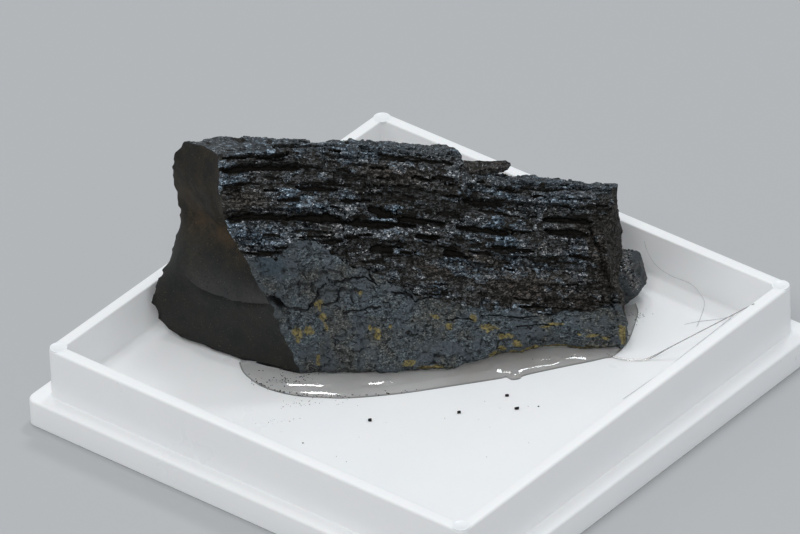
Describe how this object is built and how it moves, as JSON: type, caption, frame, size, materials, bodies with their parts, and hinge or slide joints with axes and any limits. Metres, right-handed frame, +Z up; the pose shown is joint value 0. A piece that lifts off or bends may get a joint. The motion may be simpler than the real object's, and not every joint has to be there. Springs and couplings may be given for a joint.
{
  "type": "vivianite specimen in a tray",
  "caption": "Dark, layered vivianite chunk with stepped ledges, fixed with clear glue in a white square specimen tray.",
  "frame": {"origin": "centre of the tray's underside, the middle of the square it rests on", "axes": "+Z up out of the tray; X and Y along the tray's sides; the stone lies along the diagonal from -X -Y to +X +Y with its ledged front face towards +X -Y"},
  "size_m": [0.056, 0.056, 0.0247],
  "materials": {
    "tray": "satin white moulded plastic",
    "vivianite": "dark, part matte and part glinting mineral",
    "glue": "clear hot glue"
  },
  "bodies": {
    "root": {"tray": "tray", "vivianite": "vivianite", "glue": "glue"}
  },
  "joints": []
}
